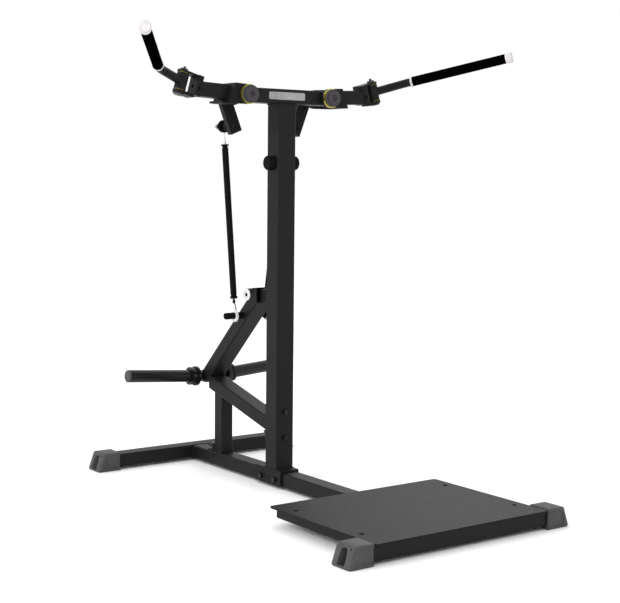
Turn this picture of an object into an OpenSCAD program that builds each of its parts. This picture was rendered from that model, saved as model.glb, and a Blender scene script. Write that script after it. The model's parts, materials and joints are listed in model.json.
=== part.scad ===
// Standing two-arm resistance machine on a T-shaped base.
// A column carries a crossbar, and each end of the crossbar carries a wing arm
// that swings down against a sleeved spring. Millimetres, +X right, +Y rear, +Z up.
// The origin is on the floor, under the centre of the whole machine.

/* [Base] */
// Distance of the column's axis behind the machine's centre
column_y = 197; // [150:1:240]
// Width of the base's steel tube
beam_w = 70; // [50:1:90]
// Height of the base's steel tube
beam_h = 54; // [40:1:80]
// Height of the tube's underside above the floor
beam_lift = 10; // [4:1:20]
// Wall of every steel tube
wall = 3; // [2:0.5:5]
// Outside corner radius of every steel tube
corner = 6; // [4:0.5:10]
// Half length of the cross beams, into their feet
beam_reach = 440; // [400:5:460]
// Centre line of the front cross beam, from the column's axis
front_beam_y = -1013; // [-1100:1:-900]
// Centre line of the rear cross beam, from the column's axis
rear_beam_y = 620; // [550:1:700]

/* [Deck] */
// Width of the standing plate
deck_w = 750; // [600:5:850]
// Rear edge of the standing plate, from the column's axis
deck_back = -480; // [-560:5:-400]
// Front edge of the standing plate, from the column's axis
deck_front = -1060; // [-1100:5:-1000]
// Thickness of the standing plate
deck_t = 6; // [4:0.5:10]
// Corner radius of the standing plate
deck_r = 12; // [4:1:40]
// Width and height of the rails under the plate
rail_w = 40; // [30:1:60]
rail_h = 38; // [25:1:50]
// Outer face of each rail from the middle
rail_x = 350; // [300:5:360]

/* [Column and braces] */
// Width and depth of the column
column_w = 80; // [60:1:100]
column_d = 76; // [60:1:100]
// Height of the crossbar's underside
crossbar_z = 1461; // [1300:1:1600]
// Height of the crossbar
crossbar_h = 54; // [40:1:80]
// Half length of the crossbar
crossbar_reach = 222; // [210:1:230]
// Rise of the lower brace, in degrees
lower_rise = 14.6; // [5:0.1:30]
// Height of the lower brace's centre line at the column's axis
lower_z = 229.6; // [200:0.1:300]
// Fall of the upper brace, in degrees
upper_fall = 44.1; // [30:0.1:60]
// Height of the upper brace's centre line at the column's axis
upper_z = 843; // [780:1:900]
// Width of the upper brace
upper_w = 76; // [60:1:90]
// Centre of the rear post, from the column's axis
post_y = 399; // [350:1:430]
// Side of the rear post
post_w = 54; // [40:1:60]
// Post depth
post_d = 58; // [40:1:80]

/* [Weight horns] */
// Diameter of each horn
horn_d = 50; // [28:1:50]
// Distance of each horn's tip from the middle
horn_reach = 391; // [300:1:450]
// Upward tilt of each horn, in degrees
horn_tilt = 4.3; // [0:0.1:10]
// Horn axis, behind the column's axis
horn_y = 498; // [450:1:540]
// Horn axis height at the middle
horn_z = 365; // [330:1:400]

/* [Arms] */
// Distance of each pivot from the middle
pivot_x = 187.5; // [170:0.5:200]
// Height of each pivot
pivot_z = 1488; // [1400:1:1550]
// Rise of the arm's tube, in degrees
arm_rise = 2.5; // [0:0.5:10]
// Swivel centre, out from the pivot and above it
swivel_out = 250.5; // [200:0.5:300]
swivel_up = 36; // [0:0.5:60]
// Inward lean of the swivel pin, in degrees
swivel_lean = 16; // [0:0.5:25]
// Lever length below the pivot, and the pin's distance from the pivot
lever_len = 145; // [120:1:180]
lever_pin_r = 118.5; // [90:0.5:140]
// Lever angle below level, towards the column
lever_angle = 68.5; // [45:0.5:90]

/* [Handles] */
// Diameter of the handle's tube
handle_d = 32; // [25:1:38]
// Diameter of the rubber grip
grip_d = 37.5; // [32:0.5:45]
// Length from the swivel to the bend, and from the bend to the end
handle_in = 138; // [100:1:200]
handle_out = 436; // [300:1:500]
// Direction of the first run, forward of straight out, in degrees
handle_sweep = 22; // [0:1:60]
// Angle of the bend, in degrees
handle_bend = 30.5; // [10:0.5:60]
// Middle radius of the bend
bend_r = 90; // [50:5:150]
// Tip-up of the handle out of the swivel's plane, in degrees
handle_tip = 1.5; // [0:0.5:8]
// Roll of the bend about the first run, in degrees
handle_roll = 3.5; // [0:0.5:15]

/* [Springs] */
// Diameter of the spring's sleeve
sleeve_d = 25; // [20:0.5:35]
// Diameter of each peg
peg_d = 26; // [16:1:30]
// Peg axis, behind the column's axis, and its height
peg_y = 203; // [150:1:260]
peg_z = 645.5; // [600:0.5:700]
// Distance of each peg's tip from the middle
peg_reach = 120; // [90:1:150]

/* [Hidden] */
$fn = 48;
beam_top = beam_lift + beam_h;
deck_top = beam_top + deck_t;
half_cd = column_d / 2;
crossbar_top = crossbar_z + crossbar_h;

// Column foot
saddle_t = 8;
saddle_front = -70;
saddle_back = 102;
saddle_low = 12;
saddle_x = beam_w / 2 + saddle_t;
foot_bolt_y = [-31, 61];
foot_bolt_z = 33;
spine_split = -78;
spine_gap = 4;

// Deck screws, sunk into the plate
screw_head = 3.5;

// Brace ends
flange_t = 8;
flange_z = [170, 316];
flange_bolt_z = [193.5, 293];
lower_end = 457;
head_front = 107;
head_top = 759.4;
head_eye = [172, 729];
head_r = 24;
head_lug = [37, 705, 755];
upper_low = 344;
upper_half = beam_h / 2 / cos(upper_fall);
disc_d = 50;
disc_t = 3;

// Rear post feet
plate_t = 6;
plate_x = 29;
plate_y = [post_y - post_d / 2, 470];
clamp_z = 82;

// Horn steps, as distances along each horn
neck_d = 37;
collar_in = 69;
collar_mid = [79, 95];
collar_out = 105;

// Feet
foot_in = 381;
foot_low = 478;
foot_high = 458;
foot_h = 73;
foot_d = 92;

// Bumpers on the column's sides, where the arms come to rest
bumper_r = 27;
bumper_reach = 66.5;
bumper_z = 1240;

// Handle's ferrules along the grip
ferrule_r = 20.5;
ferrule_from = 25;
ferrule_len = 8;
cap_len = 25;

// Pivot
shaft_r = 12.5;
bush_r = 20;
cheek_in = half_cd + 4.2;
cheek_out = 58;
cheek_r = 36;
fork_top = [56.5, 39];
fork_low = [84.5, -35];
seat_run = [23.08, 24.6];
fork_in = 50;
lip_out = 97;
lip_z = -34;
ring_t = 8;
cap_t = 16;
cap_d = 65;
ring_d = 72;
lever_y = [103, 127];
lever_w = 50;

// Swivel
barrel_r = 22;
barrel_half = 30.5;
bush_flange = 2.2;
ear_in = 33;
ear_high = 40;
ear_low = 44;
ear_r = 23;
web_in = 71;
web_out = 50;
web_w = 58;
slot_size = [8, 15];
slot_z = -6;
slot_deep = 5;
web_low = 35;
pin_r = 8;
nut_top = 55;

// Spring line, from its lower eye to the lever's pin
eye = [77, 206, 706];
spring_top_y = 179;
pin_end = [pivot_x - lever_pin_r * cos(lever_angle), spring_top_y,
    pivot_z - lever_pin_r * sin(lever_angle)];
spring_v = pin_end - eye;
spring_len = norm(spring_v);
sleeve_from = 8;
sleeve_to = spring_len - 68;
rod_r = 2.5;
rod_from = sleeve_to - 260;
rod_to = spring_len - 14;

// ---------- Colours ----------
steel = [0.16, 0.16, 0.17];
deck_grey = [0.22, 0.22, 0.23];
rubber = [0.42, 0.42, 0.43];
grip_black = [0.05, 0.05, 0.05];
alloy = [0.88, 0.88, 0.88];
chrome = [0.75, 0.75, 0.77];
brass = [0.78, 0.66, 0.22];
cap_grey = [0.38, 0.36, 0.40];
nylon = [0.93, 0.93, 0.92];

// ---------- Helpers ----------
// Puts a part written about the column's axis into the machine's frame
module placed() {
    translate([0, column_y, 0]) children();
}

// The same part on both sides
module both_sides() {
    children();
    mirror([1, 0, 0]) children();
}

// Rounded rectangle about the origin, with true arcs
module rounded(w, h, r) {
    square([w - 2 * r, h], center = true);
    square([w, h - 2 * r], center = true);
    for (sx = [-1, 1], sy = [-1, 1])
        translate([sx * (w / 2 - r), sy * (h / 2 - r)]) circle(r);
}

// Hollow tube of width w and height h, standing on the origin
module tube(w, h, len) {
    linear_extrude(len) difference() {
        rounded(w, h, corner);
        rounded(w - 2 * wall, h - 2 * wall, corner - wall);
    }
}

// Tube along Y from y0 to y1, width along X and height along Z
module tube_y(w, h, y0, y1) {
    translate([0, y1, 0]) rotate([90, 0, 0]) tube(w, h, y1 - y0);
}

// Tube along X from x0 to x1, depth along Y and height along Z
module tube_x(d, h, x0, x1) {
    translate([x0, 0, 0]) rotate([90, 0, 90]) tube(d, h, x1 - x0);
}

// Round bar along X from x0 to x1
module bar_x(r, x0, x1) {
    translate([x0, 0, 0]) rotate([0, 90, 0]) cylinder(r = r, h = x1 - x0);
}

// Round bar along Y from y0 to y1
module bar_y(r, y0, y1) {
    translate([0, y1, 0]) rotate([90, 0, 0]) cylinder(r = r, h = y1 - y0);
}

// Points the children's +Z along v
module along(v) {
    rotate([0, acos(v[2] / norm(v)), atan2(v[1], v[0])]) children();
}

// A flat outline in X and Z, given thickness from y0 to y1
module slab_y(y0, y1) {
    translate([0, y1, 0]) rotate([90, 0, 0]) linear_extrude(y1 - y0) children();
}

// A flat outline in Y and Z, given thickness from -w/2 to w/2 along X
module slab_x(w) {
    rotate([90, 0, 90]) translate([0, 0, -w / 2]) linear_extrude(w) children();
}

module hex_head(r, h) {
    cylinder(r = r, h = h, $fn = 6);
}

// ---------- Base ----------
module cross_beam() {
    translate([0, 0, beam_lift + beam_h / 2]) tube_x(beam_w, beam_h, -beam_reach, beam_reach);
}

module rear_cross_beam() {
    color(steel) placed() translate([0, rear_beam_y, 0]) cross_beam();
}

module front_cross_beam() {
    color(steel) placed() translate([0, front_beam_y, 0]) cross_beam();
}

module foot_bolt_holes(r) {
    for (y = foot_bolt_y) translate([0, y, foot_bolt_z]) bar_x(r, -60, 60);
}

module rear_spine() {
    color(steel) placed() difference() {
        translate([0, 0, beam_lift + beam_h / 2])
            tube_y(beam_w, beam_h, spine_split + spine_gap / 2, rear_beam_y - beam_w / 2);
        foot_bolt_holes(6.5);
    }
}

module front_spine() {
    color(steel) placed() translate([0, 0, beam_lift + beam_h / 2])
        tube_y(beam_w, beam_h, front_beam_y + beam_w / 2, spine_split - spine_gap / 2);
}

// Joins the two spines from the inside
module spine_sleeve() {
    fit = 0.2;
    color(steel) placed() difference() {
        translate([0, 0, beam_lift + beam_h / 2]) translate([0, 150, 0]) rotate([90, 0, 0])
            linear_extrude(460) difference() {
                rounded(beam_w - 2 * wall - 2 * fit, beam_h - 2 * wall - 2 * fit, corner - wall - fit);
                rounded(beam_w - 4 * wall, beam_h - 4 * wall, 1);
            }
        foot_bolt_holes(6.5);
    }
}

module deck_bolt_places() {
    for (sx = [-1, 1], y = [-938, -583]) translate([sx * 335, y, 0]) children();
}

module deck_rails() {
    color(steel) placed() difference() {
        both_sides() translate([rail_x - rail_w / 2, 0, beam_top - rail_h / 2])
            tube_y(rail_w, rail_h, front_beam_y + beam_w / 2, deck_back - 10);
        deck_bolt_places() translate([0, 0, beam_top - 10]) cylinder(r = 4.5, h = 20);
    }
}

module deck_plate() {
    deck_d = deck_back - deck_front;
    color(deck_grey) placed() difference() {
        translate([0, (deck_front + deck_back) / 2, beam_top])
            linear_extrude(deck_t) rounded(deck_w, deck_d, deck_r);
        deck_bolt_places() {
            translate([0, 0, beam_top - 1]) cylinder(r = 4.5, h = deck_t + 2);
            translate([0, 0, deck_top - screw_head]) cylinder(r = 9.3, h = screw_head + 1);
        }
    }
}

module foot_block() {
    difference() {
        slab_y(-foot_d / 2, foot_d / 2)
            polygon([[foot_in, 0], [foot_low, 0], [foot_high, foot_h], [foot_in, foot_h]]);
        translate([0, 0, beam_lift + beam_h / 2]) rotate([90, 0, 90]) linear_extrude(beam_reach)
            rounded(beam_w + 0.4, beam_h + 0.4, corner);
    }
}

module feet_front() {
    color(rubber) placed() both_sides() translate([0, front_beam_y, 0]) foot_block();
}

module feet_rear() {
    color(rubber) placed() both_sides() translate([0, rear_beam_y, 0]) foot_block();
}

// ---------- Column ----------
// Saddle that straddles the spine and carries the column
module column_foot() {
    color(steel) placed() difference() {
        slab_y(saddle_front, saddle_back) difference() {
            translate([-saddle_x, saddle_low]) square([2 * saddle_x, beam_top + saddle_t - saddle_low]);
            translate([-beam_w / 2, 0]) square([beam_w, beam_top]);
        }
        foot_bolt_holes(6.5);
    }
}

module column() {
    color(steel) placed() difference() {
        translate([0, 0, beam_top + saddle_t]) tube(column_w, column_d, crossbar_z - beam_top - saddle_t);
        for (z = flange_bolt_z) translate([0, 0, z]) bar_y(6.5, -half_cd - 10, half_cd + 10);
    }
}

module frame_bolts() {
    color(steel) placed() {
        for (y = foot_bolt_y) translate([0, y, foot_bolt_z]) {
            bar_x(6, -saddle_x, saddle_x);
            both_sides() translate([saddle_x, 0, 0]) rotate([0, 90, 0]) hex_head(11, 8);
        }
        for (z = flange_bolt_z) translate([0, 0, z]) {
            bar_y(6, -half_cd, half_cd + flange_t);
            translate([0, -half_cd, 0]) rotate([90, 0, 0]) hex_head(11, 8);
            translate([0, half_cd + flange_t, 0]) rotate([-90, 0, 0]) hex_head(11, 10);
        }
        deck_bolt_places() {
            translate([0, 0, beam_top - 8]) cylinder(r = 4, h = deck_t + 8 - screw_head);
            translate([0, 0, deck_top - screw_head]) difference() {
                cylinder(r = 9, h = screw_head - 0.3);
                translate([0, 0, 1]) hex_head(3, screw_head);
            }
        }
        post_bolt_places() {
            translate([0, 0, beam_top + plate_t]) cylinder(r = 7, h = clamp_z - beam_top - plate_t);
            translate([0, 0, clamp_z + plate_t]) hex_head(8, 6);
        }
    }
}

module brace_flange() {
    color(steel) placed() difference() {
        slab_y(half_cd, half_cd + flange_t)
            translate([-beam_w / 2, flange_z[0]]) square([beam_w, flange_z[1] - flange_z[0]]);
        for (z = flange_bolt_z) translate([0, 0, z]) bar_y(6.5, half_cd - 1, half_cd + flange_t + 1);
    }
}

// Outline of the upper brace seen from the side
module upper_outline() {
    front = upper_z - upper_half;
    rear = upper_z + upper_half;
    t = tan(upper_fall);
    polygon([
        [head_front, front - head_front * t], [head_front, head_top],
        [(rear - head_top) / t, head_top], [(rear - upper_low) / t, upper_low],
        [(front - upper_low) / t, upper_low]
    ]);
}

module upper_brace() {
    color(steel) placed() intersection() {
        translate([0, 0, upper_z]) rotate([-upper_fall, 0, 0]) tube_y(upper_w, beam_h, -100, 900);
        slab_x(upper_w + 2) upper_outline();
    }
}

module lower_brace() {
    front = upper_z - upper_half;
    t = tan(upper_fall);
    color(steel) placed() intersection() {
        translate([0, 0, lower_z]) rotate([lower_rise, 0, 0]) tube_y(beam_w, beam_h, -60, 600);
        slab_x(beam_w + 2) polygon([
            [half_cd + flange_t, 0], [half_cd + flange_t, 500],
            [(front - 500) / t, 500], [lower_end, front - lower_end * t], [lower_end, 0]
        ]);
    }
}

// Rounded head on the upper brace's rear face, and the lug from it to the column
module brace_cross_head() {
    rear = upper_z + upper_half;
    t = tan(upper_fall);
    color(steel) placed() {
        slab_x(upper_w) difference() {
            union() {
                translate(head_eye) circle(head_r);
                polygon([
                    [(rear - head_top) / t, head_top], [head_eye[0] - 12, head_eye[1] + head_r],
                    [head_eye[0], head_eye[1] + head_r - 8], head_eye, [head_eye[0] - 40, head_eye[1]]
                ]);
            }
            polygon([[0, rear], [900, rear - 900 * t], [0, 0]]);
        }
        translate([-head_lug[0] / 2, half_cd, head_lug[1]])
            cube([head_lug[0], head_front - half_cd, head_lug[2] - head_lug[1]]);
    }
}

// White discs on the sides of the brace's head and on the pegs
module peg_discs() {
    color(nylon) placed() both_sides() {
        translate([0, head_eye[0], head_eye[1]]) bar_x(head_r - 1, upper_w / 2, upper_w / 2 + disc_t);
        translate([0, peg_y, peg_z]) difference() {
            bar_x(disc_d / 2 - 1, 72, 78);
            bar_x(peg_d / 2 + 0.2, 71, 79);
        }
    }
}

// ---------- Rear post ----------
module post_bolt_places() {
    for (sx = [-1, 1]) translate([sx * 15, plate_y[1] - 20, 0]) children();
}

module rear_post() {
    color(steel) placed() intersection() {
        translate([0, post_y, beam_top + plate_t]) tube(post_w, post_d, 400);
        slab_x(post_w + 2) polygon([
            [0, 0], [600, 0],
            [600, lower_z - beam_h / 2 / cos(lower_rise) + 600 * tan(lower_rise)],
            [0, lower_z - beam_h / 2 / cos(lower_rise)]
        ]);
    }
}

module post_plates() {
    color(steel) placed() {
        translate([-plate_x, plate_y[0], beam_top])
            cube([2 * plate_x, plate_y[1] - plate_y[0], plate_t]);
        translate([-plate_x, post_y + post_d / 2, clamp_z])
            cube([2 * plate_x, plate_y[1] - post_y - post_d / 2, plate_t]);
    }
}

// ---------- Horns ----------
module on_horn() {
    translate([0, horn_y, horn_z]) rotate([0, -horn_tilt, 0]) children();
}

module horn() {
    difference() {
        on_horn() {
            bar_x(neck_d / 2, 20, collar_in);
            bar_x(horn_d / 2 - 3, collar_in, collar_out);
            bar_x(horn_d / 2, collar_out, horn_reach - 6);
        }
        translate([-upper_w / 2, horn_y - 100, horn_z - 100]) cube([upper_w, 200, 200]);
    }
}

module horn_right() {
    color(steel) placed() horn();
}

module horn_left() {
    color(steel) placed() mirror([1, 0, 0]) horn();
}

module horn_collars() {
    color(steel) placed() both_sides() on_horn() difference() {
        union() {
            bar_x(40, collar_in, collar_mid[0]);
            bar_x(33, collar_mid[0], collar_mid[1]);
            bar_x(36.5, collar_mid[1], collar_out);
        }
        bar_x(horn_d / 2 - 2.8, collar_in - 1, collar_out + 1);
    }
}

module horn_caps() {
    color(rubber) placed() both_sides() on_horn() {
        bar_x(horn_d / 2 - 0.3, horn_reach - 6, horn_reach - 2);
        bar_x(horn_d / 2 - 2, horn_reach - 2, horn_reach);
    }
}

// ---------- Pegs, hooks and bumpers ----------
module spring_pegs() {
    color(grip_black) placed() both_sides() translate([0, peg_y, peg_z]) {
        bar_x(peg_d / 2, upper_w / 2, peg_reach - 3);
        bar_x(peg_d / 2 - 1.5, peg_reach - 3, peg_reach);
    }
}

// Wire hook that hangs each spring on its peg
module spring_hooks() {
    wire = 2.2;
    loop_r = peg_d / 2 + wire + 0.3;
    top = [66, peg_y, peg_z + loop_r];
    rise = eye - top;
    color(chrome) placed() both_sides() {
        translate([66, peg_y, peg_z]) rotate([90, 0, 90]) rotate_extrude() translate([loop_r, 0]) circle(wire, $fn = 16);
        translate(top) along(rise) cylinder(r = wire, h = norm(rise) - 7);
        translate(eye) {
            bar_y(2, -7, 7);
            for (sy = [-1, 1]) translate([0, sy * 5, -5]) cube([5, 3, 14], center = true);
            translate([0, 0, -10]) cube([5, 13, 4], center = true);
        }
    }
}

module column_bumpers() {
    color(rubber) placed() both_sides() translate([0, 0, bumper_z]) {
        bar_x(bumper_r, column_w / 2, bumper_reach - 3.5);
        bar_x(bumper_r - 2, bumper_reach - 3.5, bumper_reach);
    }
}

// ---------- Crossbar ----------
module crossbar() {
    color(steel) placed() difference() {
        translate([0, 0, crossbar_z + crossbar_h / 2])
            tube_x(column_d, crossbar_h, -crossbar_reach, crossbar_reach);
        both_sides() translate([pivot_x, 0, pivot_z]) bar_y(bush_r + 0.2, -60, 60);
    }
}

module pivot_bushes() {
    color(brass) placed() both_sides() translate([pivot_x, 0, pivot_z]) difference() {
        union() {
            bar_y(bush_r, -half_cd - 1, half_cd + 1);
            for (s = [-1, 1]) translate([0, s * (half_cd + 1.5), 0]) bar_y(26, -1.5, 1.5);
        }
        bar_y(shaft_r + 0.06, -50, 50);
    }
}

// ---------- Arm, written for the right side about its pivot ----------
module at_pivot() {
    placed() translate([pivot_x, 0, pivot_z]) children();
}

module at_pivot_left() {
    placed() mirror([1, 0, 0]) translate([pivot_x, 0, pivot_z]) children();
}

module cheek_outline() {
    difference() {
        union() {
            circle(cheek_r);
            polygon([[0, cheek_r], fork_top, fork_low, [0, -cheek_r]]);
        }
        circle(shaft_r + 0.1);
    }
}

module arm_fork() {
    for (s = [[-cheek_out, -cheek_in], [cheek_in, cheek_out]]) slab_y(s[0], s[1]) cheek_outline();
    slab_y(-cheek_in, cheek_in) polygon([
        [fork_in, cheek_r + 2.6], fork_top, fork_low, [fork_in, -cheek_r + 0.4]
    ]);
    slab_y(-30, cheek_out) translate([fork_low[0] - 25, lip_z]) square([lip_out - fork_low[0] + 25, 8]);
}

// Swivel frame: +Z up the pin, +X out along the arm
module at_swivel() {
    translate([swivel_out, 0, swivel_up]) rotate([0, -swivel_lean, 0]) children();
}

module arm_tube() {
    difference() {
        translate([0, 0, 4]) rotate([0, -arm_rise, 0]) tube_x(beam_h, beam_h, 40, 240);
        slab_y(-60, 60) polygon([
            [-20, 100], [fork_top[0] - seat_run[0], 100], fork_top, fork_low,
            [fork_low[0] + seat_run[1], -100], [-20, -100]
        ]);
        at_swivel() translate([-web_in, -60, -150]) cube([300, 120, 300]);
    }
}

module ear() {
    translate([-web_out, -ear_r]) square([web_out, 2 * ear_r]);
    circle(ear_r);
}

module arm_yoke() {
    at_swivel() difference() {
        union() {
            translate([-web_in, -web_w / 2, -web_low])
                cube([web_in - web_out + 1, web_w, web_low + ear_high]);
            translate([0, 0, ear_in]) linear_extrude(ear_high - ear_in) ear();
            translate([0, 0, -ear_low]) linear_extrude(ear_low - ear_in) ear();
        }
        translate([0, 0, -60]) cylinder(r = pin_r + 0.1, h = 120);
        translate([-web_out, 0, 0]) bar_x(7, -10, 10);
        slab_y(-web_w / 2 - 1, -web_w / 2 + slot_deep)
            translate([-(web_in + web_out + slot_size[0]) / 2, slot_z - slot_size[1] / 2]) square(slot_size);
    }
}

module arm_shaft() {
    bar_y(shaft_r, -cheek_out - ring_t, lever_y[1] + 1);
    bar_y(20, lever_y[1] + 1, lever_y[1] + 7);
}

module pivot_ring() {
    difference() {
        bar_y(ring_d / 2, -cheek_out - ring_t, -cheek_out);
        bar_y(shaft_r + 0.1, -cheek_out - ring_t - 1, -cheek_out + 1);
    }
}

module pivot_cap() {
    difference() {
        union() {
            bar_y(cap_d / 2, -cheek_out - ring_t - cap_t + 4, -cheek_out - ring_t);
            bar_y(cap_d / 2 - 4, -cheek_out - ring_t - cap_t, -cheek_out - ring_t - cap_t + 4);
        }
        bar_y(11, -cheek_out - ring_t - cap_t - 1, -cheek_out - ring_t - cap_t + 7);
    }
    translate([0, -cheek_out - ring_t - cap_t + 7, 0]) rotate([90, 0, 0]) difference() {
        cylinder(r = 9, h = 5);
        translate([0, 0, 1]) hex_head(5, 6);
    }
}

// Lever frame: +X down the lever from the pivot
module on_lever() {
    rotate([0, 180 - lever_angle, 0]) children();
}

module lever() {
    slab_y(lever_y[0], lever_y[1]) rotate(180 + lever_angle) difference() {
        union() {
            translate([0, -lever_w / 2]) square([lever_len, lever_w]);
            circle(lever_w / 2 + 1);
        }
        circle(shaft_r + 0.1);
        translate([lever_pin_r, 0]) circle(7.2);
    }
}

module lever_pin() {
    on_lever() translate([lever_pin_r, 0, 0]) {
        bar_y(7, lever_y[0] + 6, 222);
        bar_y(9, 222, 228);
    }
}

module lever_roller() {
    on_lever() translate([lever_pin_r, 0, 0]) difference() {
        union() {
            bar_y(25, 131, 146);
            bar_y(15, lever_y[1], 131);
            bar_y(15, 146, 150);
        }
        bar_y(7.2, lever_y[1] - 1, 151);
    }
}

module swivel_pin() {
    at_swivel() {
        translate([0, 0, -ear_low]) cylinder(r = pin_r, h = ear_low + ear_high);
        translate([0, 0, -ear_low - 6]) cylinder(r = 18, h = 6);
        translate([0, 0, ear_high]) cylinder(r = 14, h = 7);
        translate([0, 0, ear_high + 7]) cylinder(r = 5, h = nut_top - ear_high - 7);
    }
}

// ---------- Handle, in the swivel frame ----------
// Runs of the handle: out from the swivel, through the bend, along the grip
module handle_frame() {
    at_swivel() rotate([0, 0, -handle_sweep]) rotate([0, -handle_tip, 0]) rotate([-handle_roll, 0, 0]) children();
}

module handle_grip_frame() {
    handle_frame() translate([handle_in, 0, 0]) rotate([0, 0, -handle_bend]) children();
}

// Bent round run of radius r: straight, arc, straight. The arc is a hair thinner
// and reaches a little way into both straights, so that the three join cleanly
module handle_run(r, last) {
    tail = bend_r * tan(handle_bend / 2);
    lap = 0.6;
    handle_frame() bar_x(r, 0, handle_in - tail);
    handle_frame() translate([handle_in - tail, -bend_r, 0]) rotate([0, 0, 90 - handle_bend - lap])
        rotate_extrude(angle = handle_bend + 2 * lap) translate([bend_r, 0]) circle(r - 0.05);
    handle_grip_frame() bar_x(r, tail, last);
}

module handle_tube() {
    difference() {
        union() {
            handle_run(handle_d / 2, handle_out - 6);
            at_swivel() translate([0, 0, -barrel_half]) cylinder(r = barrel_r, h = 2 * barrel_half);
        }
        handle_grip_frame() bar_x(handle_d / 2 - 2.5, 40, handle_out + 10);
        at_swivel() translate([0, 0, -40]) cylinder(r = 11.2, h = 80);
    }
}

module handle_bushes() {
    at_swivel() difference() {
        union() for (s = [0, 1]) mirror([0, 0, s]) {
            translate([0, 0, barrel_half]) cylinder(r = 21, h = bush_flange);
            translate([0, 0, 10]) cylinder(r = 11, h = barrel_half - 10);
        }
        translate([0, 0, -40]) cylinder(r = pin_r + 0.06, h = 80);
    }
}

module handle_grip() {
    handle_grip_frame() difference() {
        bar_x(grip_d / 2, ferrule_from + ferrule_len, handle_out - cap_len);
        bar_x(handle_d / 2 + 0.1, ferrule_from, handle_out);
    }
}

module handle_caps() {
    handle_grip_frame() difference() {
        union() {
            bar_x(ferrule_r, ferrule_from, ferrule_from + ferrule_len);
            bar_x(ferrule_r, handle_out - cap_len, handle_out - 2);
            bar_x(ferrule_r - 1.5, handle_out - 2, handle_out);
        }
        bar_x(handle_d / 2 + 0.1, ferrule_from - 1, handle_out - 6);
    }
}

// ---------- Spring, in the machine's frame, right side ----------
module on_spring() {
    translate(eye) along(spring_v) children();
}

module spring_sleeve() {
    difference() {
        union() {
            on_spring() {
                translate([0, 0, sleeve_from]) cylinder(r = 14.5, h = 8);
                translate([0, 0, sleeve_from + 8]) cylinder(r = 10.5, h = 6);
                translate([0, 0, sleeve_from + 14]) cylinder(r = sleeve_d / 2, h = sleeve_to - sleeve_from - 28);
                translate([0, 0, sleeve_to - 14]) cylinder(r = 10.5, h = 8);
                translate([0, 0, sleeve_to - 6]) cylinder(r = 14.5, h = 6);
                translate([0, 0, 2.5]) cylinder(r = 1.8, h = sleeve_from);
            }
            translate(eye) bar_y(4.5, -3, 3);
        }
        translate(eye) bar_y(2.07, -5, 5);
        on_spring() {
            translate([0, 0, sleeve_from + 16]) cylinder(r = sleeve_d / 2 - 2.5, h = sleeve_to - sleeve_from - 32);
            translate([0, 0, sleeve_to - 30]) cylinder(r = rod_r + 0.5, h = 40);
        }
    }
}

module spring_rod() {
    on_spring() {
        translate([0, 0, rod_from]) cylinder(r = 9, h = 5);
        translate([0, 0, rod_from]) cylinder(r = rod_r, h = rod_to - rod_from);
        translate([0, 0, sleeve_to + 1]) cylinder(r = 5, h = 12);
    }
}

// ---------- The two sides ----------
module arm_fork_right() {
    color(steel) at_pivot() arm_fork();
}

module arm_fork_left() {
    color(steel) at_pivot_left() arm_fork();
}

module arm_tube_right() {
    color(steel) at_pivot() arm_tube();
}

module arm_tube_left() {
    color(steel) at_pivot_left() arm_tube();
}

module arm_yoke_right() {
    color(steel) at_pivot() arm_yoke();
}

module arm_yoke_left() {
    color(steel) at_pivot_left() arm_yoke();
}

module arm_shaft_right() {
    color(steel) at_pivot() arm_shaft();
}

module arm_shaft_left() {
    color(steel) at_pivot_left() arm_shaft();
}

module pivot_ring_right() {
    color(brass) at_pivot() pivot_ring();
}

module pivot_ring_left() {
    color(brass) at_pivot_left() pivot_ring();
}

module pivot_cap_right() {
    color(cap_grey) at_pivot() pivot_cap();
}

module pivot_cap_left() {
    color(cap_grey) at_pivot_left() pivot_cap();
}

module lever_right() {
    color(steel) at_pivot() lever();
}

module lever_left() {
    color(steel) at_pivot_left() lever();
}

module lever_pin_right() {
    color(chrome) at_pivot() lever_pin();
}

module lever_pin_left() {
    color(chrome) at_pivot_left() lever_pin();
}

module lever_roller_right() {
    color(grip_black) at_pivot() lever_roller();
}

module lever_roller_left() {
    color(grip_black) at_pivot_left() lever_roller();
}

module swivel_pin_right() {
    color(cap_grey) at_pivot() swivel_pin();
}

module swivel_pin_left() {
    color(cap_grey) at_pivot_left() swivel_pin();
}

module handle_tube_right() {
    color(steel) at_pivot() handle_tube();
}

module handle_tube_left() {
    color(steel) at_pivot_left() handle_tube();
}

module handle_bushes_right() {
    color(brass) at_pivot() handle_bushes();
}

module handle_bushes_left() {
    color(brass) at_pivot_left() handle_bushes();
}

module handle_grip_right() {
    color(grip_black) at_pivot() handle_grip();
}

module handle_grip_left() {
    color(grip_black) at_pivot_left() handle_grip();
}

module handle_caps_right() {
    color(alloy) at_pivot() handle_caps();
}

module handle_caps_left() {
    color(alloy) at_pivot_left() handle_caps();
}

module spring_sleeve_right() {
    color(grip_black) placed() spring_sleeve();
}

module spring_sleeve_left() {
    color(grip_black) placed() mirror([1, 0, 0]) spring_sleeve();
}

module spring_rod_right() {
    color(chrome) placed() spring_rod();
}

module spring_rod_left() {
    color(chrome) placed() mirror([1, 0, 0]) spring_rod();
}

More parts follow.
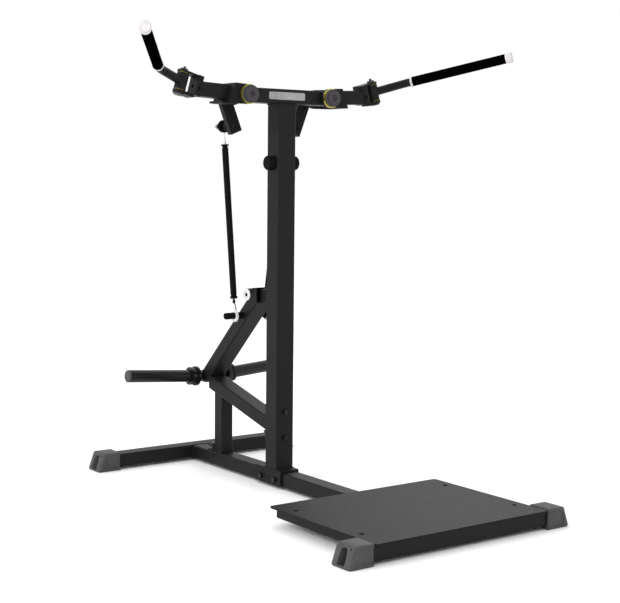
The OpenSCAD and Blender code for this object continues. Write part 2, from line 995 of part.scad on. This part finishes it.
// ---------- Parts ----------
rear_cross_beam();
rear_spine();
front_spine();
front_cross_beam();
spine_sleeve();
deck_rails();
deck_plate();
column_foot();
frame_bolts();
column();
brace_flange();
lower_brace();
upper_brace();
brace_cross_head();
peg_discs();
rear_post();
post_plates();
horn_left();
horn_right();
horn_collars();
horn_caps();
spring_pegs();
spring_hooks();
crossbar();
pivot_bushes();
column_bumpers();
feet_front();
feet_rear();
arm_fork_left();
arm_tube_left();
arm_yoke_left();
arm_shaft_left();
pivot_ring_left();
pivot_cap_left();
lever_left();
lever_pin_left();
lever_roller_left();
swivel_pin_left();
handle_tube_left();
handle_bushes_left();
handle_grip_left();
handle_caps_left();
spring_sleeve_left();
spring_rod_left();
arm_fork_right();
arm_tube_right();
arm_yoke_right();
arm_shaft_right();
pivot_ring_right();
pivot_cap_right();
lever_right();
lever_pin_right();
lever_roller_right();
swivel_pin_right();
handle_tube_right();
handle_bushes_right();
handle_grip_right();
handle_caps_right();
spring_sleeve_right();
spring_rod_right();
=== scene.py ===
"""Looks for the standing two-arm resistance machine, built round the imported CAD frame. Metres."""

import json
import math
import bmesh
import bpy
from mathutils import Matrix, Vector


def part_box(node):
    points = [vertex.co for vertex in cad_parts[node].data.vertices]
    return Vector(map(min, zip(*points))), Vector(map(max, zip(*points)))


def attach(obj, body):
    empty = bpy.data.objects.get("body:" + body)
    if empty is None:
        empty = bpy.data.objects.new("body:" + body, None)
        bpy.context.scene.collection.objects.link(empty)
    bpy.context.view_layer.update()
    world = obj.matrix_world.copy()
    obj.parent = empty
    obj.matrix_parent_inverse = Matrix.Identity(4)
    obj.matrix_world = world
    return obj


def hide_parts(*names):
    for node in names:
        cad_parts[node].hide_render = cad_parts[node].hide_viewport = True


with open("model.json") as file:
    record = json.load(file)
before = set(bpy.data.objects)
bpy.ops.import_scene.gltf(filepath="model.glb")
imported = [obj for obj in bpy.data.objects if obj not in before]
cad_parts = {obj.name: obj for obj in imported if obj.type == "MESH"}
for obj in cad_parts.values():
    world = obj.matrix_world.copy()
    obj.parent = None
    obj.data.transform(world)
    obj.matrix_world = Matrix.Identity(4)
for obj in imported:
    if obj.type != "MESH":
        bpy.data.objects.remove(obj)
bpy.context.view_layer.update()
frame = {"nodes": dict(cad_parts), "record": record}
nodes = frame["nodes"]
MM = 0.001
SIDES = {"left": -1, "right": 1}
Y_AXIS = Vector((0, 1, 0))
JOINTS = {j["name"]: j for j in frame["record"]["behaviour"]["joints"]}
QUARTER = math.radians(90)


# ---------- Materials ----------
def shader(name, colour, rough, metal=0.0, specular=0.5):
    """A new material with its principled shader set; returns (material, shader node, node tree)."""
    mat = bpy.data.materials.new(name)
    mat.use_nodes = True
    tree = mat.node_tree
    bsdf = tree.nodes["Principled BSDF"]
    bsdf.inputs["Base Color"].default_value = (*colour, 1)
    bsdf.inputs["Roughness"].default_value = rough
    bsdf.inputs["Metallic"].default_value = metal
    bsdf.inputs["Specular IOR Level"].default_value = specular
    return mat, bsdf, tree


def noise(tree, scale, detail=4.0, rough=0.6):
    """Noise in object space."""
    coords = tree.nodes.new("ShaderNodeTexCoord")
    tex = tree.nodes.new("ShaderNodeTexNoise")
    tex.inputs["Scale"].default_value = scale
    tex.inputs["Detail"].default_value = detail
    tex.inputs["Roughness"].default_value = rough
    tree.links.new(coords.outputs["Object"], tex.inputs["Vector"])
    return tex.outputs["Fac"]


def ramp(tree, fac, low, high, start=0.3, end=0.7):
    """A colour ramp from low to high."""
    node = tree.nodes.new("ShaderNodeValToRGB")
    node.color_ramp.elements[0].position = start
    node.color_ramp.elements[1].position = end
    node.color_ramp.elements[0].color = (*low, 1)
    node.color_ramp.elements[1].color = (*high, 1)
    tree.links.new(fac, node.inputs["Fac"])
    return node.outputs["Color"]


def spread(tree, fac, low, high):
    """Maps a 0 to 1 value to low..high."""
    node = tree.nodes.new("ShaderNodeMapRange")
    node.inputs["To Min"].default_value = low
    node.inputs["To Max"].default_value = high
    tree.links.new(fac, node.inputs["Value"])
    return node.outputs["Result"]


def bump(tree, bsdf, height, strength, distance):
    """Fine relief from a height value."""
    node = tree.nodes.new("ShaderNodeBump")
    node.inputs["Strength"].default_value = strength
    node.inputs["Distance"].default_value = distance
    tree.links.new(height, node.inputs["Height"])
    tree.links.new(node.outputs["Normal"], bsdf.inputs["Normal"])


def edge_highlight_mask(tree):
    """Mask for the painted edge highlight: 1 along convex edges, 0 on flats."""
    geo = tree.nodes.new("ShaderNodeNewGeometry")
    node = tree.nodes.new("ShaderNodeValToRGB")
    node.color_ramp.elements[0].position = 0.52
    node.color_ramp.elements[1].position = 0.60
    tree.links.new(geo.outputs["Pointiness"], node.inputs["Fac"])
    return node.outputs["Color"]


def scaled(colour, factor):
    """A colour made darker or lighter."""
    return tuple(min(1.0, c * factor) for c in colour)


def painted(name, colour, rough, specular, grain=900.0, relief=0.00012):
    """Powder coat: orange-peel relief, faint mottling, and a painted highlight that makes convex edges
    slightly lighter.
    """
    # How much lighter the painted edge highlight makes convex edges.
    highlight_gain = 1.5
    mat, bsdf, tree = shader(name, colour, rough, specular=specular)
    mottled = ramp(tree, noise(tree, 14.0), scaled(colour, 0.88), scaled(colour, 1.12))
    # Painted highlight: convex edges get a lighter copy of the paint colour, mixed over the mottled colour.
    mix = tree.nodes.new("ShaderNodeMix")
    mix.data_type = "RGBA"
    mix.inputs[7].default_value = (*scaled(colour, highlight_gain), 1)
    tree.links.new(edge_highlight_mask(tree), mix.inputs[0])
    tree.links.new(mottled, mix.inputs[6])
    tree.links.new(mix.outputs[2], bsdf.inputs["Base Color"])
    tree.links.new(spread(tree, noise(tree, 60.0), rough - 0.05, rough + 0.06), bsdf.inputs["Roughness"])
    bump(tree, bsdf, noise(tree, grain, 2.0), 0.35, relief)
    return mat


def moulded(name, colour, rough, specular=0.35, grain=700.0, relief=0.0002):
    """Rubber or plastic with a fine moulded grain and a dusty unevenness."""
    mat, bsdf, tree = shader(name, colour, rough, specular=specular)
    tree.links.new(ramp(tree, noise(tree, 22.0, 6.0), scaled(colour, 0.85), scaled(colour, 1.15)),
                   bsdf.inputs["Base Color"])
    tree.links.new(spread(tree, noise(tree, 90.0), rough - 0.08, rough + 0.08), bsdf.inputs["Roughness"])
    bump(tree, bsdf, noise(tree, grain, 3.0), 0.4, relief)
    return mat


def metal(name, colour, rough):
    """Bare or plated metal with fine tool marks."""
    mat, bsdf, tree = shader(name, colour, rough, metal=1.0)
    marks = noise(tree, 500.0, 3.0)
    tree.links.new(ramp(tree, noise(tree, 40.0), scaled(colour, 0.92), scaled(colour, 1.05)),
                   bsdf.inputs["Base Color"])
    tree.links.new(spread(tree, marks, rough - 0.05, rough + 0.08), bsdf.inputs["Roughness"])
    bump(tree, bsdf, marks, 0.2, 0.00005)
    return mat


MATS = {
    "powder_steel": painted("powder_steel", (0.0063, 0.0063, 0.0066), 0.46, 0.13),
    "deck_paint": painted("deck_paint", (0.010, 0.010, 0.0105), 0.5, 0.09, 1400.0, 0.0002),
    "horn_gloss": painted("horn_gloss", (0.003, 0.003, 0.0032), 0.24, 0.3),
    "cap_paint": painted("cap_paint", (0.040, 0.037, 0.042), 0.45, 0.2),
    "foot_rubber": moulded("foot_rubber", (0.066, 0.066, 0.068), 0.6, 0.2),
    "black_rubber": moulded("black_rubber", (0.0035, 0.0035, 0.0035), 0.7, 0.08, 1200.0),
    "grip_foam": moulded("grip_foam", (0.0008, 0.0008, 0.0008), 0.95, 0.0, 1500.0),
    "end_cap": moulded("end_cap", (0.62, 0.59, 0.60), 0.6, 0.15, relief=0.0001),
    "white_nylon": moulded("white_nylon", (0.70, 0.69, 0.685), 0.45, relief=0.0001),
    "label": moulded("label", (0.30, 0.30, 0.30), 0.5, 0.1, relief=0.00005),
    "bright_steel": metal("bright_steel", (0.70, 0.70, 0.72), 0.22),
    "dark_steel": metal("dark_steel", (0.045, 0.045, 0.048), 0.4),
    "brass": metal("brass", (0.55, 0.50, 0.07), 0.38),
    "dull_brass": metal("dull_brass", (0.20, 0.17, 0.03), 0.45),
}
# Nodes that look different from the rest of their material slot, without their side
LOOK_OF = {
    "frame_bolts": "horn_gloss", "horn": "horn_gloss", "horn_collars": "horn_gloss",
    "handle_grip": "grip_foam", "handle_bushes": "dull_brass", "handle_caps": "end_cap",
    "spring_hooks": "dark_steel", "lever_pin": "dark_steel",
}


def look(node, slot):
    """The material of a CAD node."""
    return MATS[LOOK_OF.get(node.removesuffix("_left").removesuffix("_right"), slot)]


# ---------- Mesh helpers ----------
def piece(name, bm, slot, body="frame"):
    """Makes an object of a bmesh, in the row frame, with its material and body."""
    bmesh.ops.remove_doubles(bm, verts=bm.verts, dist=1e-6)
    bmesh.ops.recalc_face_normals(bm, faces=bm.faces)
    mesh = bpy.data.meshes.new(name)
    bm.to_mesh(mesh)
    bm.free()
    obj = bpy.data.objects.new(name, mesh)
    bpy.context.collection.objects.link(obj)
    mesh.materials.append(MATS[slot])
    mesh.shade_smooth()
    mesh.set_sharp_from_angle(angle=math.radians(32))
    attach(obj, body)
    return obj


def basis(origin, z_dir):
    """A matrix whose Z points along z_dir."""
    z = Vector(z_dir).normalized()
    x = Vector((1, 0, 0)) - z * z.x
    if x.length < 1e-6:
        x = Y_AXIS - z * z.y
    x.normalize()
    y = z.cross(x)
    return Matrix.Translation(origin) @ Matrix((x, y, z)).transposed().to_4x4()


def circle(steps):
    """Even angles round a full turn."""
    return [2 * math.pi * k / steps for k in range(steps)]


def lathe(bm, profile, place, steps=48):
    """Revolves a list of (radius, height) about the Z of a placement. A radius of 0 closes it."""
    rings = []
    for radius, height in profile:
        if radius <= 1e-9:
            rings.append([bm.verts.new(place @ Vector((0, 0, height)))])
            continue
        rings.append([bm.verts.new(place @ Vector((radius * math.cos(a), radius * math.sin(a), height)))
                      for a in circle(steps)])
    for low, high in zip(rings, rings[1:]):
        for i in range(steps):
            j = (i + 1) % steps
            corners = [low[i % len(low)], low[j % len(low)], high[j % len(high)], high[i % len(high)]]
            unique = list(dict.fromkeys(corners))
            if len(unique) > 2:
                bm.faces.new(unique)


def sweep(bm, points, radius, steps, closed=False):
    """A round tube along points, with capped ends."""
    rings = []
    count = len(points)
    side = None
    for i, point in enumerate(points):
        before = points[i - 1] if (i or closed) else point
        after = points[(i + 1) % count] if (i < count - 1 or closed) else point
        ahead = (after - before).normalized()
        if side is None:
            side = ahead.orthogonal().normalized()
        side = (side - ahead * side.dot(ahead)).normalized()
        up = ahead.cross(side)
        rings.append([bm.verts.new(point + side * radius * math.cos(a) + up * radius * math.sin(a))
                      for a in circle(steps)])
    pairs = list(zip(rings, rings[1:])) + ([(rings[-1], rings[0])] if closed else [])
    for low, high in pairs:
        for k in range(steps):
            m = (k + 1) % steps
            bm.faces.new((low[k], low[m], high[m], high[k]))
    if not closed:
        bm.faces.new(reversed(rings[0]))
        bm.faces.new(rings[-1])


def rounded_edges(obj, width, angle=35):
    """Welds an imported mesh and rounds its sharp edges."""
    weld = obj.modifiers.new("weld", "WELD")
    weld.merge_threshold = 1e-6
    bevel = obj.modifiers.new("bevel", "BEVEL")
    bevel.width = width
    bevel.segments = 2
    bevel.limit_method = "ANGLE"
    bevel.angle_limit = math.radians(angle)
    bevel.use_clamp_overlap = True
    bevel.harden_normals = False


def cut(obj, cutters, rounding):
    """Takes cutter meshes out of a piece and rounds what is left."""
    helpers = []
    for bm in cutters:
        bmesh.ops.recalc_face_normals(bm, faces=bm.faces)
        mesh = bpy.data.meshes.new("cutter")
        bm.to_mesh(mesh)
        bm.free()
        helper = bpy.data.objects.new("cutter", mesh)
        bpy.context.collection.objects.link(helper)
        boolean = obj.modifiers.new("cut", "BOOLEAN")
        boolean.operation = "DIFFERENCE"
        boolean.solver = "EXACT"
        boolean.object = helper
        helpers.append(helper)
    rounded_edges(obj, rounding, 30)
    bpy.context.view_layer.update()
    baked = bpy.data.meshes.new_from_object(obj.evaluated_get(bpy.context.evaluated_depsgraph_get()))
    obj.modifiers.clear()
    obj.data = baked
    obj.data.shade_smooth()
    obj.data.set_sharp_from_angle(angle=math.radians(40))
    for helper in helpers:
        bpy.data.objects.remove(helper)


def prism(outline, place, depth):
    """A bmesh prism: an outline in the placement's X and Y, pushed along its Z."""
    bm = bmesh.new()
    low = [bm.verts.new(place @ Vector((x, y, 0))) for x, y in outline]
    high = [bm.verts.new(place @ Vector((x, y, depth))) for x, y in outline]
    bm.faces.new(reversed(low))
    bm.faces.new(high)
    for i in range(len(outline)):
        j = (i + 1) % len(outline)
        bm.faces.new((low[i], low[j], high[j], high[i]))
    return bm


def arc(cx, cy, radius, start, end, steps=8):
    """Points on an arc, in degrees."""
    return [(cx + radius * math.cos(math.radians(start + (end - start) * i / steps)),
             cy + radius * math.sin(math.radians(start + (end - start) * i / steps)))
            for i in range(steps + 1)]


def loft(rings):
    """A closed bmesh through rings of equal length, with flat ends."""
    bm = bmesh.new()
    made = [[bm.verts.new(p) for p in ring] for ring in rings]
    for low, high in zip(made, made[1:]):
        for i in range(len(low)):
            j = (i + 1) % len(low)
            bm.faces.new((low[i], low[j], high[j], high[i]))
    bm.faces.new(reversed(made[0]))
    bm.faces.new(made[-1])
    return bm


def rectangle(x, y, z, half_x, half_y):
    """A level rectangle's corners."""
    return [Vector((x - half_x, y - half_y, z)), Vector((x + half_x, y - half_y, z)),
            Vector((x + half_x, y + half_y, z)), Vector((x - half_x, y + half_y, z))]


def middle(node):
    """The centre of a node's box, and its half sizes."""
    low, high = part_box(node)
    return [(a + b) / 2 for a, b in zip(low, high)], [(b - a) / 2 for a, b in zip(low, high)]


def upright_rectangle(y, low_z, high_z, half_x):
    """An upright rectangle's corners, facing along Y."""
    return [Vector((-half_x, y, low_z)), Vector((half_x, y, low_z)),
            Vector((half_x, y, high_z)), Vector((-half_x, y, high_z))]


# ---------- CAD nodes that stay ----------
SLOT_OF = {part["node"]: part["material_slot"] for part in frame["record"]["subparts"]}
for name, obj in nodes.items():
    obj.data.materials.clear()
    obj.data.materials.append(look(name, SLOT_OF[name]))
for name in ("deck_plate", "column_foot", "post_plates", "brace_flange"):
    rounded_edges(nodes[name], 0.8 * MM)
for side in SIDES:
    for name in ("arm_fork", "arm_yoke", "lever"):
        rounded_edges(nodes[f"{name}_{side}"], 1.2 * MM)


# ---------- Camera ----------
def place_camera():
    """The camera, at the viewpoint of the reference view."""
    data = bpy.data.cameras.new("camera")
    data.sensor_width = 36
    data.lens = 77.63
    camera = bpy.data.objects.new("camera", data)
    bpy.context.collection.objects.link(camera)
    bpy.context.scene.camera = camera
    spot = (-2.9102, -3.9729, 1.1864)
    yaw, pitch, roll = math.radians(36.191), math.radians(5.294), math.radians(0.563)
    ahead = Vector((math.sin(yaw) * math.cos(pitch), math.cos(yaw) * math.cos(pitch), -math.sin(pitch)))
    level = Vector((math.cos(yaw), -math.sin(yaw), 0))
    above = level.cross(ahead)
    right = level * math.cos(roll) + above * math.sin(roll)
    up = above * math.cos(roll) - level * math.sin(roll)
    turned = Matrix((right, up, -ahead)).transposed().to_4x4()
    camera.matrix_world = Matrix.Translation(spot) @ turned


place_camera()


# ---------- Floor and light ----------
def floor_plane():
    """A plain pale floor."""
    reach = 60.0
    mat, _, _ = shader("floor", (0.95, 0.95, 0.95), 0.95, specular=0.0)
    bm = bmesh.new()
    corners = [(-reach, -reach, 0), (reach, -reach, 0), (reach, reach, 0), (-reach, reach, 0)]
    bm.faces.new([bm.verts.new(Vector(corner)) for corner in corners])
    mesh = bpy.data.meshes.new("floor")
    bm.to_mesh(mesh)
    bm.free()
    floor = bpy.data.objects.new("floor", mesh)
    bpy.context.collection.objects.link(floor)
    mesh.materials.append(mat)


def lamp(name, kind, power):
    """A new lamp; returns (object, data)."""
    data = bpy.data.lights.new(name, kind)
    data.energy = power
    obj = bpy.data.objects.new(name, data)
    bpy.context.collection.objects.link(obj)
    return obj, data


def studio():
    """A white room, a wide overhead sun and two soft area lamps."""
    world = bpy.data.worlds.new("room")
    bpy.context.scene.world = world
    world.use_nodes = True
    background = world.node_tree.nodes["Background"]
    background.inputs["Color"].default_value = (1, 1, 1, 1)
    background.inputs["Strength"].default_value = 1.0
    sun, sky = lamp("overhead", "SUN", 0.45)
    sky.angle = math.radians(70)
    sun.rotation_euler = (math.radians(-8), math.radians(-14), 0)
    aim = Vector((0, 0, 0.8))
    for name, place, width, power in (("key", (-4.2, -0.6, 2.6), 2.6, 85), ("rim", (3.4, 2.6, 2.8), 2.0, 30)):
        obj, data = lamp(name, "AREA", power)
        data.size = width
        obj.location = place
        obj.rotation_euler = (aim - Vector(place)).to_track_quat("-Z", "Y").to_euler()
    bpy.context.scene.view_settings.view_transform = "Standard"


floor_plane()
studio()


# ---------- Feet ----------
def pocket_outline():
    """The pointed arch of the pocket in a foot's outer face."""
    half, sill, arch = 19 * MM, 9 * MM, 57 * MM
    squareness = 0.45
    rise = [QUARTER * k / 8 for k in range(1, 8)]
    right = [(half * math.cos(t) ** squareness, sill + arch * math.sin(t)) for t in rise]
    left = [(-x, z) for x, z in reversed(right)]
    return [(-half, sill), (half, sill)] + right + [(0, sill + arch)] + left


def foot(name, node, side):
    """A moulded foot: slanted outer face with an arched pocket and a screw hole, framed front and back."""
    low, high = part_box(node)
    y0, y1 = low[1], high[1]
    outer, top = high[0], high[2]
    inner = outer - 97 * MM
    lean = 20 * MM
    round_r, low_r, high_r = 6 * MM, 7 * MM, 11 * MM

    def profile(inset):
        return ([(inner, inset)] + arc(outer - low_r, low_r, low_r - inset, -90, 15, 5)
                + arc(outer - lean - high_r, top - high_r, high_r - inset, 15, 90, 6)
                + [(inner, top - inset)])

    turns = [QUARTER * k / 4 for k in range(5)]
    stations = [(y0 + round_r * (1 - math.cos(a)), round_r * (1 - math.sin(a))) for a in turns]
    stations += [(y1 - round_r * (1 - math.cos(a)), round_r * (1 - math.sin(a))) for a in reversed(turns)]
    flip = Matrix.Scale(SIDES[side], 4, (1, 0, 0))
    body = loft([[flip @ Vector((x, y, z)) for x, z in profile(inset)] for y, inset in stations])
    obj = piece(name, body, "foot_rubber")

    slope = math.atan2(lean, top)
    face = flip @ Matrix.Translation((outer, (y0 + y1) / 2, 0)) @ Matrix.Rotation(-slope, 4, "Y")
    upright = face @ Matrix(((0, 0, 1, 0), (1, 0, 0, 0), (0, 1, 0, 0), (0, 0, 0, 1)))
    screw_hole = arc(-31 * MM, 66 * MM, 4 * MM, 0, 330, 11)
    rim, recess, clear = 11 * MM, 3.5 * MM, 20 * MM
    panel = ([(inner - 5 * MM, rim), (outer - 20 * MM, rim)]
             + arc(outer - 44 * MM, top - 27 * MM, 16 * MM, 12, 90, 6) + [(inner - 5 * MM, top - rim)])
    turn = Matrix.Rotation(QUARTER, 4, "X")
    front_cut = flip @ Matrix.Translation((0, y0 + recess, 0)) @ turn
    back_cut = flip @ Matrix.Translation((0, y1 + clear, 0)) @ turn
    cut(obj, [prism(pocket_outline(), upright @ Matrix.Translation((0, 0, -30 * MM)), 60 * MM),
              prism(screw_hole, upright @ Matrix.Translation((0, 0, -9 * MM)), 30 * MM),
              prism(panel, front_cut, clear), prism(panel, back_cut, clear + recess)], 1.4 * MM)
    return obj


for node in ("feet_front", "feet_rear"):
    for made in [foot(f"{node}_{side}", node, side) for side in SIDES]:
        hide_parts(node)


# ---------- Springs' upper hooks ----------
def spring_wire(side):
    """The rod of a spring, and the wire loop that hangs it on the lever's roller."""
    up = Vector(JOINTS[f"{side}_spring_stretch"]["axis"]).normalized()
    eye = Vector(JOINTS[f"{side}_spring_tilt"]["pos_m"])

    def along(node):
        """How far the top of a node is from the eye, along the spring."""
        return (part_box(node)[1][2] - eye.z) / up.z

    reach = along(f"spring_rod_{side}")
    pin = eye + up * (reach + 14 * MM)
    down = Vector((-up.x, 0, -up.z)).normalized()
    across = down.cross(Y_AXIS)
    radius, drop = 19 * MM, 29 * MM
    opening = math.acos(radius / drop)
    knot = pin + down * drop
    turn = [opening + (2 * math.pi - 2 * opening) * k / 28 for k in range(29)]
    loop = [pin + down * radius * math.cos(a) + across * radius * math.sin(a) for a in turn]
    bm = bmesh.new()
    sweep(bm, [knot] + loop, 1.5 * MM, 10, closed=True)
    sweep(bm, [knot + up * 2 * MM, knot, eye + up * (reach - 250 * MM)], 2.2 * MM, 14)
    nut = [(0, 2), (5, 2), (6, 4), (6, 9), (3.5, 13), (0, 13)]
    sleeve_top = eye + up * along(f"spring_sleeve_{side}")
    lathe(bm, [(r * MM, h * MM) for r, h in nut], basis(sleeve_top, up), 24)
    wire = piece(f"spring_wire_{side}", bm, "bright_steel", f"rod_{side}")
    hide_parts(f"spring_rod_{side}")
    bm = bmesh.new()
    groove = [(0, -8), (9, -8), (9, -7), (23, -7), (24, -6), (24, -3.5), (19, -1.5), (18.2, 0), (19, 1.5),
              (24, 3.5), (24, 6), (23, 7), (12, 7), (12, 9), (0, 9)]
    lathe(bm, [(r * MM, h * MM) for r, h in groove], basis(pin, Y_AXIS))
    piece(f"hook_roller_{side}", bm, "black_rubber", f"arm_{side}")


for side in SIDES:
    spring_wire(side)


# ---------- Welds ----------
def weld(name, corners):
    """A weld bead round a closed path: a rippled round run, resampled to even steps."""
    step, radius, steps = 2.2 * MM, 2.3 * MM, 7
    ripple, ripple_turn = 0.16, 2.1
    even = []
    for start, end in zip(corners, corners[1:] + corners[:1]):
        count = max(1, round((end - start).length / step))
        even += [start.lerp(end, i / count) for i in range(count)]
    bm = bmesh.new()
    rings = []
    for i, point in enumerate(even):
        run = (even[(i + 1) % len(even)] - even[i - 1]).normalized()
        side = run.orthogonal().normalized()
        up = run.cross(side)
        bead = radius * (1.0 + ripple * math.sin(i * ripple_turn))
        rings.append([bm.verts.new(point + side * bead * math.cos(a) + up * bead * math.sin(a))
                      for a in circle(steps)])
    for low, high in zip(rings, rings[1:] + rings[:1]):
        shift = min(range(steps), key=lambda s: (low[0].co - high[s].co).length)
        for k in range(steps):
            m = (k + 1) % steps
            bm.faces.new((low[k], low[m], high[(m + shift) % steps], high[(k + shift) % steps]))
    piece(name, bm, "powder_steel")


sunk = 1 * MM
(col_x, col_y, col_z), (col_hx, col_hy, col_hz) = middle("column")
weld("weld_column_foot", rectangle(col_x, col_y, col_z - col_hz + sunk, col_hx, col_hy))
weld("weld_column_top", rectangle(col_x, col_y, col_z + col_hz - sunk, col_hx, col_hy))
(post_x, post_y, post_z), (post_hx, post_hy, post_hz) = middle("rear_post")
weld("weld_post_foot", rectangle(post_x, post_y, post_z - post_hz + sunk, post_hx, post_hy))

for beam, cross, toward in (("rear_spine", "rear_cross_beam", -1), ("front_spine", "front_cross_beam", 1)):
    (_, _, spine_z), (spine_hx, _, spine_hz) = middle(beam)
    (_, cross_y, _), (_, cross_hy, _) = middle(cross)
    weld(f"weld_{beam}", upright_rectangle(cross_y + toward * cross_hy,
                                           spine_z - spine_hz, spine_z + spine_hz, spine_hx))

neck_r = 18.5 * MM
neck_up = 25 * MM
for side, sign in SIDES.items():
    low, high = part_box(f"horn_{side}")
    neck_x = low[0] if side == "right" else high[0]
    weld(f"weld_horn_{side}", [Vector((neck_x + sign * sunk, (low[1] + high[1]) / 2 + neck_r * math.cos(a),
                                       low[2] + neck_up + neck_r * math.sin(a))) for a in circle(24)])


# ---------- Screws, washers and the blank label ----------
def screw(name, place, radius, high):
    """A low button head with a round socket, standing on the placement's plane."""
    bm = bmesh.new()
    socket_low, rim_low = -1 * MM, -1.2 * MM
    lathe(bm, [(0, socket_low), (0.36 * radius, socket_low), (0.36 * radius, 0.9 * high),
               (0.55 * radius, high), (0.85 * radius, 0.6 * high), (radius, 0.1 * high),
               (radius, rim_low), (0, rim_low)], place, 30)
    piece(name, bm, "black_rubber")


deck_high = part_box("deck_plate")[1][2]
deck_screw_x = 335 * MM
deck_screw_y = {"front": -741 * MM, "rear": -386 * MM}
head_x, head_y, head_z = 41 * MM, 369 * MM, 729 * MM
washer = [(7.4, 0), (11, 0), (11.5, 0.5), (11.5, 1.7), (11, 2.2), (7.4, 2.2), (7.4, 0)]
for side, sign in SIDES.items():
    for end, y in deck_screw_y.items():
        screw(f"deck_screw_{end}_{side}", Matrix.Translation((sign * deck_screw_x, y, deck_high)),
              9 * MM, 1.6 * MM)
    screw(f"head_bolt_{side}", basis((sign * head_x, head_y, head_z), (sign, 0, 0)), 7 * MM, 4 * MM)
    (pin_x, _, pin_z), _ = middle(f"lever_pin_{side}")
    washer_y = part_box(f"lever_pin_{side}")[1][1] - 8.4 * MM
    bm = bmesh.new()
    lathe(bm, [(r * MM, h * MM) for r, h in washer], basis((pin_x, washer_y, pin_z), Y_AXIS), 36)
    piece(f"pin_washer_{side}", bm, "white_nylon", f"arm_{side}")

label_x, label_z, label_r, label_t = 82 * MM, 14 * MM, 6 * MM, 0.7 * MM
corner_x, corner_z = label_x - label_r, label_z - label_r
outline = (arc(corner_x, corner_z, label_r, 0, 90, 5) + arc(-corner_x, corner_z, label_r, 90, 180, 5)
           + arc(-corner_x, -corner_z, label_r, 180, 270, 5) + arc(corner_x, -corner_z, label_r, 270, 360, 5))
bar_low, bar_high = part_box("crossbar")
label_place = Matrix.Translation((-2 * MM, bar_low[1] + 0.2 * MM, (bar_low[2] + bar_high[2]) / 2 + 1 * MM))
piece("blank_label", prism(outline, label_place @ Matrix.Rotation(QUARTER, 4, "X"), label_t), "label")
